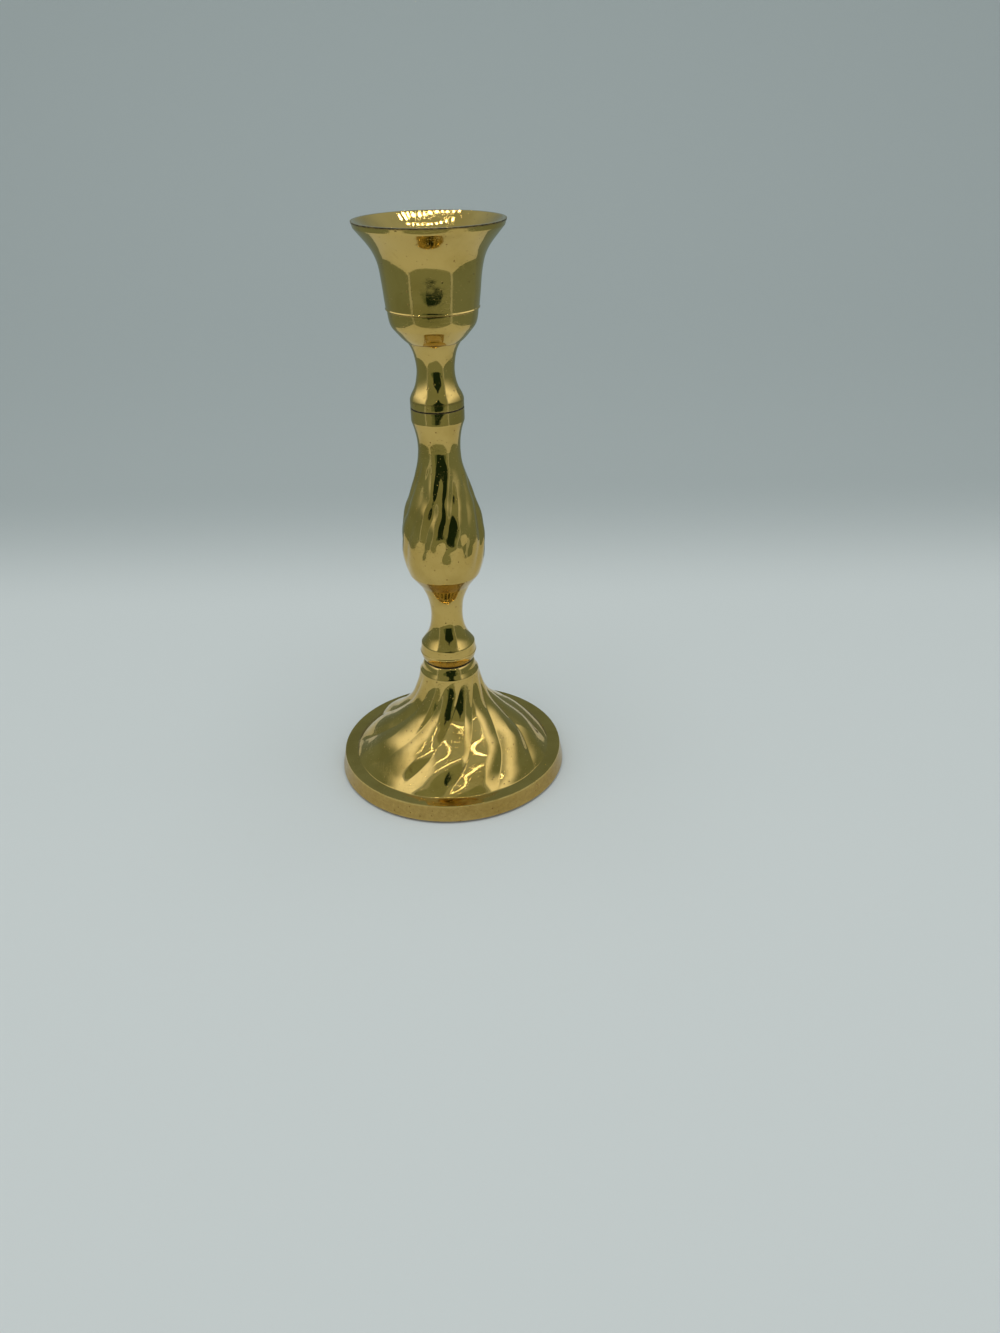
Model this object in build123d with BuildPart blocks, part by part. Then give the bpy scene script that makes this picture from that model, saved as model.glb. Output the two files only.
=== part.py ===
from build123d import *
from math import cos, radians, sin
import os

# A turned brass candlestick with a twisted foot and bulb. Three hollow or bored castings, the base,
# the stem and the candle cup, stand on one another and are pulled together by a steel rod up the middle.
# Millimetres and degrees. The origin is on the floor at the middle of the foot, with +Z up.

# Felt pad, and the stiff card behind it
felt_thickness = 0.8
felt_margin = 0.75
card_thickness = 1.2
card_clearance = 0.1

# Foot band of the base, and the ledge round the swirl
foot_diameter = 77.9
band_height = 5.45
band_lean = 1.1
band_round = 0.5
rim_width = 1.75
card_seat_width = 2.0
ledge_width = 4.2
ledge_wall = 2.2

# Swirl of the base, from the ledge up to the collar
lobe_count = 12
swirl_height = 30.4
swirl_top_diameter = 19.8
swirl_turn = 60.0
swirl_start = 237.7
swirl_wall = 2.8
web_thickness = 7.6

# Collar on top of the base
collar_height = 3.95
collar_shoulder_height = 2.3
collar_diameter = 17.9
collar_seat_diameter = 15.6

# Stem, from its bead up to the collar below the cup
bead_roll_height = 3.6
bead_band_height = 3.0
bead_diameter = 18.8
bead_step = 0.15
bead_top_diameter = 17.8
lower_neck_height = 21.1
lower_neck_diameter = 10.4
bevel_height = 4.3
bevel_start_diameter = 16.0
bevel_end_diameter = 22.8
bulb_lower_height = 10.4
bulb_upper_height = 30.4
bulb_diameter = 26.6
bulb_valley_depth = 0.45
bulb_turn = 51.0
bulb_start = 258.3
upper_neck_height = 8.9
upper_neck_diameter = 12.9
stem_collar_height = 4.0
stem_collar_diameter = 16.1
seam_chamfer = 0.15

# How far a turned neck or collar stands proud of the cast lobes that it meets
turned_step = 0.06

# Candle cup, from the bead at its foot up to the rim
neck_bead_height = 2.5
cup_neck_height = 16.7
cup_neck_diameter = 11.2
bowl_start_diameter = 16.4
bowl_height = 8.9
step_width = 0.3
bell_height = 23.6
rim_diameter = 43.0
rim_height = 1.7
rim_width_top = 0.9
rim_round = 0.4

# Candle socket inside the cup
socket_diameter = 22.4
socket_depth = 16.0
socket_flare_height = 10.0
cup_wall = 1.9

# Tie rod and the parts on it
rod_diameter = 6.0
rod_clearance = 0.2
thread_clearance = 0.05
rod_chamfer = 0.6
rod_tail = 2.4
thread_depth = 16.0
thread_relief = 1.0
washer_ring_width = 2.8
washer_thickness = 1.6
spring_washer_ring_width = 2.4
spring_washer_thickness = 1.6
spring_washer_gap = 1.0
nut_wall = 2.0
nut_thickness = 5.0
nut_chamfer = 0.5

# Spigots that centre one casting on the next
spigot_wall = 1.8
spigot_height = 2.0
spigot_clearance = 0.05
spigot_relief = 0.3

# How far every cut runs past the face it starts from
overrun = 1.0

# Share of the rise, share of the flare, and share of the radius cut into the valleys, at each
# section of the base's swirl, from the ledge up to the collar
swirl_section_shares = (
    (0.00, 1.000, 0.002),
    (0.05, 0.945, 0.015),
    (0.10, 0.885, 0.030),
    (0.19, 0.780, 0.045),
    (0.29, 0.645, 0.050),
    (0.39, 0.470, 0.050),
    (0.50, 0.308, 0.050),
    (0.60, 0.188, 0.050),
    (0.70, 0.115, 0.048),
    (0.80, 0.066, 0.042),
    (0.90, 0.027, 0.030),
    (1.00, 0.000, 0.002),
)

# Share of the rise, share of the swell and share of the valley depth at each section of the bulb,
# below its widest level and from there up
bulb_lower_shares = (
    (0.000, 0.000, 0.02),
    (0.288, 0.530, 0.25),
    (0.615, 0.895, 0.70),
)
bulb_upper_shares = (
    (0.000, 1.000, 1.00),
    (0.164, 0.966, 1.00),
    (0.355, 0.775, 1.00),
    (0.553, 0.481, 0.80),
    (0.753, 0.200, 0.40),
    (0.888, 0.050, 0.10),
    (1.000, 0.000, 0.02),
)

# Shares of the step out and of the rise along the curves of the turned outlines, each curve running
# from its narrow end to its wide end
collar_shares = ((0.52, 0.28), (0.80, 0.60))
bead_shares = ((0.35, 0.18), (0.68, 0.48))
neck_foot_shares = ((0.06, 0.30), (0.28, 0.59), (0.48, 0.74), (0.77, 0.89))
neck_head_shares = ((0.14, 0.40), (0.47, 0.69))
upper_neck_shares = ((0.10, 0.35), (0.45, 0.68))
cup_neck_foot_shares = ((0.11, 0.31), (0.51, 0.68), (0.82, 0.85))
cup_neck_head_shares = ((0.14, 0.39), (0.57, 0.80))
bowl_shares = ((0.25, 0.13), (0.60, 0.35), (0.80, 0.49), (0.94, 0.72))
bell_shares = ((0.055, 0.20), (0.11, 0.40), (0.23, 0.615), (0.41, 0.753), (0.69, 0.89))
flare_shares = ((0.20, 0.25), (0.45, 0.55), (0.70, 0.77))

# Radii and levels that follow from the sizes
foot_radius = foot_diameter / 2
band_top_radius = foot_radius - band_lean
ledge_radius = band_top_radius - ledge_width
rebate_radius = foot_radius - rim_width
card_radius = rebate_radius - card_clearance
hollow_radius = rebate_radius - card_seat_width
felt_radius = foot_radius - felt_margin
swirl_top_radius = swirl_top_diameter / 2
socket_radius = socket_diameter / 2
bowl_radius = socket_radius + cup_wall
rim_radius = rim_diameter / 2
rod_radius = rod_diameter / 2
bore_radius = rod_radius + rod_clearance
thread_radius = rod_radius + thread_clearance
spigot_radius = bore_radius + spigot_wall
recess_radius = spigot_radius + spigot_clearance
recess_depth = spigot_height + spigot_relief

base_bottom = felt_thickness
card_top = base_bottom + card_thickness
band_top = base_bottom + band_height
swirl_top = band_top + swirl_height
base_top = swirl_top + collar_height
bead_edge = base_top + bead_roll_height
bead_top = bead_edge + bead_band_height
bevel_bottom = bead_top + lower_neck_height
bulb_bottom = bevel_bottom + bevel_height
bulb_height = bulb_lower_height + bulb_upper_height
bulb_widest = bulb_bottom + bulb_lower_height
bulb_top = bulb_bottom + bulb_height
stem_collar_bottom = bulb_top + upper_neck_height
stem_top = stem_collar_bottom + stem_collar_height
neck_bead_top = stem_top + neck_bead_height
bowl_bottom = neck_bead_top + cup_neck_height
step_level = bowl_bottom + bowl_height
rim_top = step_level + bell_height
socket_mouth = rim_top - socket_flare_height
socket_floor = socket_mouth - socket_depth

web_bottom = base_top - web_thickness
spring_washer_top = web_bottom - washer_thickness
nut_top = spring_washer_top - spring_washer_thickness
nut_bottom = nut_top - nut_thickness
rod_bottom = nut_bottom - rod_tail
thread_top = stem_top + thread_depth
rod_top = thread_top - thread_relief


def along(start, end, shares):
    """Points of an outline from start to end, each at a share of the step out and of the rise."""
    step_out = end[0] - start[0]
    rise = end[1] - start[1]
    return [(start[0] + step_out * out, start[1] + rise * up) for out, up in shares]


def lobed_ring(crest_radius, valley_depth, first_valley):
    """Closed ring of round lobes that meet in sharp valleys, the first valley at the given angle."""
    lobe_angle = 360 / lobe_count
    valley_radius = crest_radius - valley_depth
    for lobe in range(lobe_count):
        start = radians(first_valley + lobe * lobe_angle)
        middle = radians(first_valley + (lobe + 0.5) * lobe_angle)
        end = radians(first_valley + (lobe + 1) * lobe_angle)
        ThreePointArc(
            (valley_radius * cos(start), valley_radius * sin(start)),
            (crest_radius * cos(middle), crest_radius * sin(middle)),
            (valley_radius * cos(end), valley_radius * sin(end)),
        )


def swell(narrow_radius, wide_radius, share):
    """Radius at a share of the way from the narrow to the wide one."""
    return narrow_radius + (wide_radius - narrow_radius) * share


# Base casting: foot band, twelve twisted lobes and the collar, hollow below the web
with BuildPart() as base:
    with BuildSketch(Plane.XZ):
        with BuildLine():
            Polyline(
                (0, base_bottom),
                (foot_radius, base_bottom),
                (band_top_radius, band_top),
                (0, band_top),
                close=True,
            )
        make_face()
    revolve(axis=Axis.Z)
    fillet(base.edges().group_by(Axis.Z)[-1], band_round)

    for rise_share, flare_share, valley_share in swirl_section_shares:
        crest_radius = swell(swirl_top_radius, ledge_radius, flare_share)
        with BuildSketch(Plane.XY.offset(band_top + swirl_height * rise_share)):
            with BuildLine():
                lobed_ring(crest_radius, crest_radius * valley_share, swirl_start + swirl_turn * rise_share)
            make_face()
    loft()

    collar_radius = collar_diameter / 2
    collar_seat_radius = collar_seat_diameter / 2
    shoulder = (collar_radius, base_top - collar_shoulder_height)
    seat = (collar_seat_radius, base_top)
    with BuildSketch(Plane.XZ):
        with BuildLine():
            Polyline((0, swirl_top), (swirl_top_radius + turned_step, swirl_top), shoulder)
            Spline(shoulder, *reversed(along(seat, shoulder, collar_shares)), seat)
            Polyline(seat, (0, base_top), (0, swirl_top))
        make_face()
    revolve(axis=Axis.Z)

    # Hollow under the swirl, with the rebate that holds the card
    hollow_points = []
    for rise_share, flare_share, valley_share in swirl_section_shares:
        level = band_top + swirl_height * rise_share
        valley_radius = swell(swirl_top_radius, ledge_radius, flare_share) * (1 - valley_share)
        if band_top < level < web_bottom:
            hollow_points.append((valley_radius - swirl_wall, level))
    hollow_roof = band_top - ledge_wall
    with BuildSketch(Plane.XZ):
        with BuildLine():
            Polyline(
                (0, base_bottom - overrun),
                (rebate_radius, base_bottom - overrun),
                (rebate_radius, card_top),
                (hollow_radius, card_top),
                (hollow_radius, hollow_roof),
                (ledge_radius, hollow_roof),
                hollow_points[0],
            )
            Spline(*hollow_points)
            Polyline(
                hollow_points[-1],
                (hollow_points[-1][0], web_bottom),
                (0, web_bottom),
                (0, base_bottom - overrun),
            )
        make_face()
    revolve(axis=Axis.Z, mode=Mode.SUBTRACT)

    # Bore for the rod, with the recess that centres the stem's spigot
    with Locations((0, 0, base_top)):
        CounterBoreHole(bore_radius, recess_radius, recess_depth)
base.part.label = "base"


# Stem casting: bead, lower neck, bevel, lobed bulb, upper neck and collar
with BuildPart() as stem:
    bead_radius = bead_diameter / 2
    bead_top_radius = bead_top_diameter / 2
    lower_neck_radius = lower_neck_diameter / 2
    bevel_start_radius = bevel_start_diameter / 2
    bevel_end_radius = bevel_end_diameter / 2
    bulb_radius = bulb_diameter / 2
    upper_neck_radius = upper_neck_diameter / 2
    stem_collar_radius = stem_collar_diameter / 2

    waist = (lower_neck_radius, (bead_top + bevel_bottom) / 2)
    bead_start = (collar_seat_radius, base_top)
    bead_widest = (bead_radius, bead_edge)
    bead_end = (bead_top_radius, bead_top)
    bevel_start = (bevel_start_radius, bevel_bottom)
    with BuildSketch(Plane.XZ):
        with BuildLine():
            Line((0, base_top), bead_start)
            Spline(
                bead_start,
                *along(bead_start, bead_widest, bead_shares),
                bead_widest,
            )
            Polyline(bead_widest, (bead_radius - bead_step, bead_edge), bead_end)
            Spline(
                bead_end,
                *reversed(along(waist, bead_end, neck_foot_shares)),
                waist,
                *along(waist, bevel_start, neck_head_shares),
                bevel_start,
            )
            Polyline(
                bevel_start,
                (bevel_end_radius, bulb_bottom),
                (0, bulb_bottom),
                (0, base_top),
            )
        make_face()
    revolve(axis=Axis.Z)

    bulb_sections = [
        (
            bulb_bottom + bulb_lower_height * rise_share,
            swell(bevel_end_radius - turned_step, bulb_radius, swell_share),
            bulb_valley_depth * valley_share,
        )
        for rise_share, swell_share, valley_share in bulb_lower_shares
    ] + [
        (
            bulb_widest + bulb_upper_height * rise_share,
            swell(upper_neck_radius - turned_step, bulb_radius, swell_share),
            bulb_valley_depth * valley_share,
        )
        for rise_share, swell_share, valley_share in bulb_upper_shares
    ]
    for level, crest_radius, valley_depth in bulb_sections:
        turned_by = bulb_turn * (level - bulb_bottom) / bulb_height
        with BuildSketch(Plane.XY.offset(level)):
            with BuildLine():
                lobed_ring(crest_radius, valley_depth, bulb_start + turned_by)
            make_face()
    loft()

    neck_start = (upper_neck_radius, bulb_top)
    collar_start = (stem_collar_radius, stem_collar_bottom)
    with BuildSketch(Plane.XZ):
        with BuildLine():
            Line((0, bulb_top), neck_start)
            Spline(
                neck_start,
                *along(neck_start, collar_start, upper_neck_shares),
                collar_start,
            )
            Polyline(
                collar_start,
                (stem_collar_radius, stem_top - seam_chamfer),
                (stem_collar_radius - seam_chamfer, stem_top),
                (0, stem_top),
                (0, bulb_top),
            )
        make_face()
    revolve(axis=Axis.Z)

    # Spigots at both ends, and the bore for the rod
    with BuildSketch(Plane.XY.offset(base_top - spigot_height)):
        Circle(spigot_radius)
    extrude(amount=stem_top - base_top + 2 * spigot_height)
    with Locations((0, 0, stem_top + spigot_height)):
        Hole(bore_radius)
stem.part.label = "stem"


# Candle cup casting: bead, neck, bowl and flared bell, with the socket turned out of it
with BuildPart() as candle_cup:
    cup_neck_radius = cup_neck_diameter / 2
    bowl_start_radius = bowl_start_diameter / 2
    step_radius = bowl_radius + step_width

    neck_bead = (stem_collar_radius, neck_bead_top)
    cup_waist = (cup_neck_radius, (neck_bead_top + bowl_bottom) / 2)
    bowl_start = (bowl_start_radius, bowl_bottom)
    bowl_end = (bowl_radius, step_level)
    bell_start = (step_radius, step_level)
    bell_end = (rim_radius, rim_top - rim_height)
    lip_inside = (rim_radius - rim_width_top, rim_top)
    socket_edge = (socket_radius, socket_mouth)
    with BuildSketch(Plane.XZ):
        with BuildLine():
            Polyline(
                (0, stem_top),
                (stem_collar_radius - seam_chamfer, stem_top),
                (stem_collar_radius, stem_top + seam_chamfer),
                neck_bead,
            )
            Spline(
                neck_bead,
                *reversed(along(cup_waist, neck_bead, cup_neck_foot_shares)),
                cup_waist,
                *along(cup_waist, bowl_start, cup_neck_head_shares),
                bowl_start,
            )
            Spline(
                bowl_start,
                *along(bowl_start, bowl_end, bowl_shares),
                bowl_end,
            )
            Line(bowl_end, bell_start)
            Spline(
                bell_start,
                *along(bell_start, bell_end, bell_shares),
                bell_end,
            )
            Polyline(bell_end, (rim_radius, rim_top), lip_inside)
            Spline(
                lip_inside,
                *reversed(along(socket_edge, lip_inside, flare_shares)),
                socket_edge,
            )
            Polyline(
                socket_edge,
                (socket_radius, socket_floor),
                (0, socket_floor),
                (0, stem_top),
            )
        make_face()
    revolve(axis=Axis.Z)
    rim_edges = candle_cup.edges().filter_by(GeomType.CIRCLE).group_by(Axis.Z)[-1]
    fillet(rim_edges, rim_round)

    # Recess over the stem's spigot, and the tapped hole for the rod
    with BuildSketch(Plane.XY.offset(stem_top - overrun)):
        Circle(recess_radius)
    extrude(amount=overrun + recess_depth, mode=Mode.SUBTRACT)
    with BuildSketch(Plane.XY.offset(stem_top)):
        Circle(thread_radius)
    extrude(amount=thread_depth, mode=Mode.SUBTRACT)
candle_cup.part.label = "candle_cup"


# Tie rod: threaded at both ends in the real one, plain here
with BuildPart() as tie_rod:
    with BuildSketch(Plane.XY.offset(rod_bottom)):
        Circle(rod_radius)
    extrude(amount=rod_top - rod_bottom)
    chamfer(tie_rod.edges().filter_by(GeomType.CIRCLE), rod_chamfer)
tie_rod.part.label = "tie_rod"


# Flat washer under the web of the base
with BuildPart() as washer:
    with BuildSketch(Plane.XY.offset(spring_washer_top)):
        Circle(bore_radius + washer_ring_width)
        Circle(bore_radius, mode=Mode.SUBTRACT)
    extrude(amount=washer_thickness)
washer.part.label = "washer"


# Split spring washer, clamped flat
with BuildPart() as spring_washer:
    ring_radius = bore_radius + spring_washer_ring_width
    with BuildSketch(Plane.XY.offset(nut_top)):
        Circle(ring_radius)
        Circle(bore_radius, mode=Mode.SUBTRACT)
        with Locations((ring_radius, 0)):
            Rectangle(2 * ring_radius, spring_washer_gap, mode=Mode.SUBTRACT)
    extrude(amount=spring_washer_thickness)
spring_washer.part.label = "spring_washer"


# Hex nut with its corners turned off
with BuildPart() as hex_nut:
    nut_flat_radius = rod_radius + nut_wall
    nut_corner_radius = nut_flat_radius / cos(radians(30))
    with BuildSketch(Plane.XY.offset(nut_bottom)):
        RegularPolygon(nut_flat_radius, 6, major_radius=False)
        Circle(thread_radius, mode=Mode.SUBTRACT)
    extrude(amount=nut_thickness)
    with BuildSketch(Plane.XZ):
        with BuildLine():
            Polyline(
                (0, nut_bottom),
                (nut_flat_radius, nut_bottom),
                (nut_corner_radius, nut_bottom + nut_chamfer),
                (nut_corner_radius, nut_top - nut_chamfer),
                (nut_flat_radius, nut_top),
                (0, nut_top),
                close=True,
            )
        make_face()
    revolve(axis=Axis.Z, mode=Mode.INTERSECT)
hex_nut.part.label = "hex_nut"


# Card disc in the rebate of the foot, behind the felt
with BuildPart() as backing_card:
    with BuildSketch(Plane.XY.offset(base_bottom)):
        Circle(card_radius)
    extrude(amount=card_thickness)
backing_card.part.label = "backing_card"


# Felt disc glued under the foot
with BuildPart() as felt_pad:
    with BuildSketch(Plane.XY):
        Circle(felt_radius)
    extrude(amount=felt_thickness)
felt_pad.part.label = "felt_pad"


os.makedirs("parts", exist_ok=True)
for piece in (base, stem, candle_cup, tie_rod, washer, spring_washer, hex_nut, backing_card, felt_pad):
    export_step(piece.part, f"parts/{piece.part.label}.step")

print(f"height {rim_top:.2f} mm, foot {foot_diameter:.2f} mm, rim {rim_diameter:.2f} mm")
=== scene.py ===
"""Looks of the turned brass candlestick, built round its packed CAD frame.

Named sizes are in millimetres unless their comment says metres, and settings are in metres. The origin is
on the floor at the middle of the foot. Each operator makes one piece, or one group of like pieces.
"""

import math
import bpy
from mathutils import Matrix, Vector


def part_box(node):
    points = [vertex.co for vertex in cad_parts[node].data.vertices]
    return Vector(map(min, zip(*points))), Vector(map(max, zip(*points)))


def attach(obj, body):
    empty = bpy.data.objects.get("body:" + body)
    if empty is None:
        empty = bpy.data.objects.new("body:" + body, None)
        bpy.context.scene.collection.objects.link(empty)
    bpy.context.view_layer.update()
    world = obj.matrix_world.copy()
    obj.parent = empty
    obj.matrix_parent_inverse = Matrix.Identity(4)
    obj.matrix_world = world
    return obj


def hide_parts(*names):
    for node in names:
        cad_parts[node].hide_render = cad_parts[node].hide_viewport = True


bl_info = {
    "name": "Twisted brass candlestick",
    "version": (1, 0, 0),
    "blender": (4, 5, 0),
    "location": "View3D > Sidebar > Candlestick",
    "description": "Makes a turned brass candlestick with a twisted foot and bulb, and its studio",
    "category": "Object",
}

import bpy
import numpy as np
from mathutils import Euler, Matrix, Vector

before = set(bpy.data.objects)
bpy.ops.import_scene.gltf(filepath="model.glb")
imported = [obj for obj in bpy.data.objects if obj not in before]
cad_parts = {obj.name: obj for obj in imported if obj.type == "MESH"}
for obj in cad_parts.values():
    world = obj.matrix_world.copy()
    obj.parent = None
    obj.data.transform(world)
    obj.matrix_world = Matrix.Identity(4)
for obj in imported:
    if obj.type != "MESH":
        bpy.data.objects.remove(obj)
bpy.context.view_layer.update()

MM = 0.001
FULL_TURN = 2 * math.pi


def node_span(node):
    """Size of a CAD node in metres, with its lowest and highest levels in millimetres."""
    low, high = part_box(node)
    return high - low, low.z / MM, high.z / MM


foot_size, base_bottom, base_top = node_span("base")
cup_size, stem_top, rim_top = node_span("candle_cup")
felt_size, felt_bottom, _ = node_span("felt_pad")
card_top = node_span("backing_card")[2]

# Foot band and ledge of the base
band_height = 5.45
band_lean = 1.1
ledge_width = 4.2
ledge_wall = 2.2
rim_width = 1.75
card_seat_width = 2.0

# Swirl of the base
swirl_height = 30.4
swirl_top_radius = 9.9
swirl_top_step = 0.06
swirl_wall = 2.8
web_thickness = 7.6

# Collar on top of the base
collar_shoulder_height = 2.3
collar_radius = 8.95
collar_seat_radius = 7.8

# Stem
bead_roll_height = 3.6
bead_band_height = 3.0
bead_radius = 9.4
bead_step = 0.15
bead_top_radius = 8.9
lower_neck_height = 21.1
lower_neck_radius = 5.2
bevel_height = 4.3
bevel_start_radius = 8.0
bevel_end_radius = 11.4
bulb_lower_height = 10.4
bulb_upper_height = 30.4
upper_neck_radius = 6.45
stem_collar_height = 4.0
stem_collar_radius = 8.05
seam_chamfer = 0.15

# Candle cup
neck_bead_height = 2.5
cup_neck_height = 16.7
cup_neck_radius = 5.6
neck_step = 0.22
neck_step_drop = 0.02
bowl_start_radius = 8.2
bowl_height = 8.9
bowl_radius = 13.1
rim_height = 1.7
rim_width_top = 0.9
lip_lean = 0.50
socket_depth = 16.0
socket_flare_height = 10.0

# Turned groove and ring between bowl and bell, with their levels above the top of the bowl
groove_depth = 0.12
groove_levels = (-0.05, 0.10)
ring_overhang = 0.16
ring_levels = (0.16, 0.42)
bell_overhang = 0.3
bell_start_level = 0.60

# Bores, spigots and recesses on the middle line
bore_radius = 3.2
thread_radius = 3.05
thread_depth = 16.0
spigot_radius = 5.0
spigot_height = 2.0
recess_radius = 5.05
recess_depth = 2.3
tip_radius = 0.02

# Share of the rise, share of the flare and share of the radius cut into the valleys of the swirl
swirl_shares = (
    (0.00, 1.000, 0.002),
    (0.05, 0.945, 0.015),
    (0.10, 0.885, 0.030),
    (0.19, 0.780, 0.045),
    (0.29, 0.645, 0.050),
    (0.39, 0.470, 0.050),
    (0.50, 0.308, 0.050),
    (0.60, 0.188, 0.050),
    (0.70, 0.115, 0.048),
    (0.80, 0.066, 0.042),
    (0.90, 0.027, 0.030),
    (1.00, 0.000, 0.002),
)

# Share of the rise, of the swell and of the valley depth of the bulb, below its widest level and above it
bulb_lower_shares = (
    (0.000, 0.000, 0.02),
    (0.288, 0.530, 0.25),
    (0.615, 0.895, 0.70),
)
bulb_upper_shares = (
    (0.000, 1.000, 1.00),
    (0.164, 0.966, 1.00),
    (0.355, 0.775, 1.00),
    (0.553, 0.481, 0.80),
    (0.753, 0.200, 0.40),
    (0.888, 0.050, 0.10),
    (1.000, 0.000, 0.02),
)

# Shares of the step out and of the rise along the turned curves, from the narrow end to the wide end
collar_shares = ((0.52, 0.28), (0.80, 0.60))
bead_shares = ((0.35, 0.18), (0.68, 0.48))
neck_foot_shares = ((0.06, 0.30), (0.28, 0.59), (0.48, 0.74), (0.77, 0.89))
neck_head_shares = ((0.14, 0.40), (0.47, 0.69))
upper_neck_shares = ((0.10, 0.35), (0.45, 0.68))
cup_neck_foot_shares = ((0.11, 0.31), (0.51, 0.68), (0.82, 0.85))
cup_neck_head_shares = ((0.14, 0.39), (0.57, 0.80))
bowl_shares = ((0.25, 0.13), (0.60, 0.35), (0.80, 0.49), (0.94, 0.72))
bell_shares = ((0.055, 0.20), (0.11, 0.40), (0.23, 0.615), (0.41, 0.753), (0.69, 0.89))
flare_shares = ((0.20, 0.25), (0.45, 0.55), (0.70, 0.77))

# Rows of a turned surface: their fine spacing, the longest step and the widest turn (radians) between two,
# the share of them kept where pieces meet, and how many fine rows each measure of a bend is blurred over
fine_step = 0.04
longest_step = 0.5
widest_turn = 0.20
hidden_share = 0.25
sharpest_bend = 6
bend_reach, bend_blur, turn_reach = 3, 5, 2

# How far the columns crowd towards the valleys, how many a lobe has, and how many go round the cup
valley_crowding = 0.72
base_lobe_columns, bulb_lobe_columns, cup_columns = 24, 16, 180

# Waves that hand polishing leaves: how many, then the fewest and one above the most crests round the piece
slow_waves = (9, 1, 8)
bulb_waves = (16, 3, 13)
bulb_wave_height = 0.19
bulb_wave_climb = 0.75
bulb_valley_roundness = 0.30

# Old polish: its reach beside and inside a seam, the bend of a full groove or of an edge with the full
# painted highlight, and its amounts
beside_seam = 0.55
inside_seam = 0.24
groove_bend = 2.2
edge_bend = 3.0
open_groove_share = 0.10
seam_share = 1.1

# Dark marks by an edge, which the brass shows as tarnish and residue: how far above it they lie, their reach
# up and down, how far inside the edge they begin, and their strength. Those of the foot band and the bevel
# cover the height of each, and the bevel's begins at a radius.
lip_mark = (-0.16, 0.16, 0.55, 0.75)
groove_mark = (0.02, 0.10, 0.4, 0.40)
bowl_mark = (-0.08, 0.12, 0.4, 0.45)
neck_bead_mark = (-0.15, 0.12, 0.4, 0.5)
band_mark_share, band_mark_inset, band_mark_strength = 0.62, 1.0, 0.28
bevel_mark_radius, bevel_mark_strength = 6.0, 0.22

# Felt, in metres: its grid, the fray of its cut edge, its slow waves with their seed, and its rolled rim
felt_rings, felt_columns = 90, 240
fray_counts = (5, 11, 23, 37, 61)
felt_margin, fray_depth = 0.00012, 0.00003
felt_seed, felt_wave_count = 21, 14
felt_wave_lengths = (0.004, 0.016)
felt_rim_width, felt_rim_roll = 0.00045, 0.00030
felt_lift, felt_middle_lift = 0.00004, 0.00006

# The tent that the brass reflects, in metres: half its width, its front, its back and its height
tent_side, tent_front, tent_back, tent_height = 0.25, -0.20, 0.16, 0.42

# Levels between which the tent's walls and its back brighten, in metres, and where above that the walls
# lose part of it again, down to a share
wall_low_level, wall_high_level, back_low_level = 0.11, 0.27, 0.10
fade_start, fade_end, fade_share = 0.02, 0.14, 0.35

# The dim room in front, in metres: half its width, its front, its lowest and highest levels and its table
room_side, room_front, room_low, room_high = 1.2, -0.9, -0.1, 1.2
table_level = 0.0006

# Posts and bright strips beside the tent's opening, and the shield under its ceiling, in metres
post_place, post_half_width = 0.205, 0.003
strip_width = 0.045
shield_side, shield_front, shield_back, shield_level = 0.15, -0.065, 0.0, 0.25

# Where the dark card and the dim card behind it stand, and their outlines across and up, in metres
dark_card_front, shade_card_front = -0.40, -0.41
dark_card_outline = (
    (-0.06, -0.03), (0.20, -0.03), (0.20, 0.06), (0.24, 0.13), (0.25, 0.22), (0.12, 0.31),
    (0.085, 0.40), (0.055, 0.40), (0.03, 0.31), (-0.09, 0.22), (-0.10, 0.12),
)
shade_card_outline = (
    (-0.19, -0.02), (0.31, -0.02), (0.29, 0.04), (0.22, 0.10), (0.14, 0.145), (0.0, 0.14),
    (-0.06, 0.09), (-0.13, 0.10), (-0.18, 0.04),
)

# Small lamps under the tent's ceiling, in metres: half their width, how far they hang down, and half their
# length in the wide frame, in the far row and in the near row
bead_half_width, bead_drop = 0.0016, 0.015
frame_bead, far_bead, near_bead = 0.0025, 0.0045, 0.004

# Where each side and row of lamps starts, its end and its step, in metres, then the places of the frame's
# two long and two short sides, and the middle of each curved row with how fast it bends back
long_side, long_side_places = (-0.41, 0.331, 0.016), (-0.23, -0.10)
short_side, short_side_places = (-0.214, -0.11, 0.016), (-0.41, 0.326)
far_row, far_middle, far_bend = (-0.076, 0.086, 0.0135), 0.047, 7
near_row, near_middle, near_bend = (-0.076, 0.086, 0.0162), 0.006, 8.5

# Floor and backdrop in metres, and how far back their colours blend in two steps, each to a share
sheet_half_width, sheet_top = 2.4, 1.6
bend_start, bend_radius, bend_steps = 0.13, 0.35, 40
colour_blends = ((0.12, 0.24, 0.85), (0.20, 0.37, 0.15))

# Soft lamp above, in metres: its place and its width
lamp_place, lamp_width = (0.0, -0.05, 0.95), 0.7

# Camera: its place, its lens and sensor, how far it looks down and leans in degrees, and how near it sees
camera_place = (17.25, -306.81, 211.66)
camera_lens, camera_sensor = 27.961, 36.0
camera_down, camera_roll = 29.729, -1.064
camera_nearest = 5.0


# Settings


def length_setting(name, description, default):
    """A length that the user can change."""
    return bpy.props.FloatProperty(
        name=name, description=description, default=default, unit="LENGTH", precision=6
    )


def angle_setting(name, description, degrees):
    """An angle that the user can change."""
    return bpy.props.FloatProperty(
        name=name, description=description, default=math.radians(degrees), unit="ROTATION"
    )


def share_setting(name, description, default, least=0.0, most=1.0):
    """A share that the user can change."""
    return bpy.props.FloatProperty(
        name=name, description=description, default=default, min=least, max=most, subtype="FACTOR"
    )


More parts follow.
